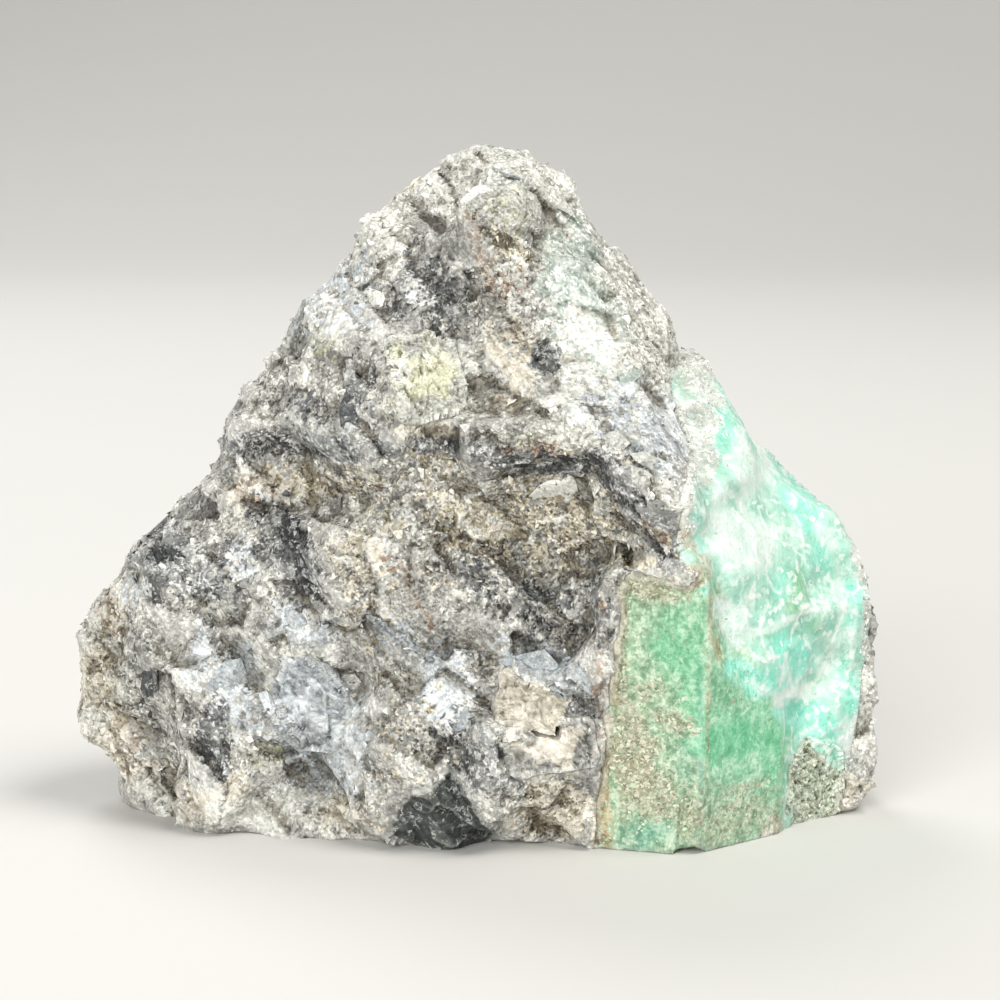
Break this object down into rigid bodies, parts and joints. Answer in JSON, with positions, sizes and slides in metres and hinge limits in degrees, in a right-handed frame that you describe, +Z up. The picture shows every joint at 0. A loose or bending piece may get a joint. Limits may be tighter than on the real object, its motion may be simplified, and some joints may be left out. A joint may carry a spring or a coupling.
{
  "type": "emerald in matrix specimen",
  "caption": "Rough hand specimen of grey mica and quartz rock, roughly triangular, with a hexagonal green beryl crystal set in its lower right front, standing on a flat break.",
  "frame": {"origin": "middle of the bounding box at the flat base, on the surface that the specimen stands on", "axes": "+X to the right and the longest way, +Y away from the front and the shortest way, +Z up"},
  "size_m": [0.0658, 0.036, 0.0535],
  "materials": {
    "mica_quartz_rock": "rough granular mica and quartz with sparkling flakes",
    "emerald_beryl": "translucent mint to sage green, cloudy, clean on its prism faces and chipped above",
    "olive_mica": "granular olive brown mica",
    "smoky_quartz": "near black glassy quartz with pale veins",
    "cream_feldspar": "cream cleaved feldspar",
    "yellow_feldspar": "pale yellow feldspar",
    "blue_grey_quartz": "blue grey quartz with white streaks"
  },
  "bodies": {
    "root": {"matrix_rock": "mica_quartz_rock", "emerald_crystal": "emerald_beryl", "mica_clump": "olive_mica", "smoky_quartz": "smoky_quartz", "feldspar_plate_upper": "cream_feldspar", "feldspar_plate_lower": "cream_feldspar", "yellow_feldspar": "yellow_feldspar", "blue_quartz_shard": "blue_grey_quartz"}
  },
  "joints": []
}
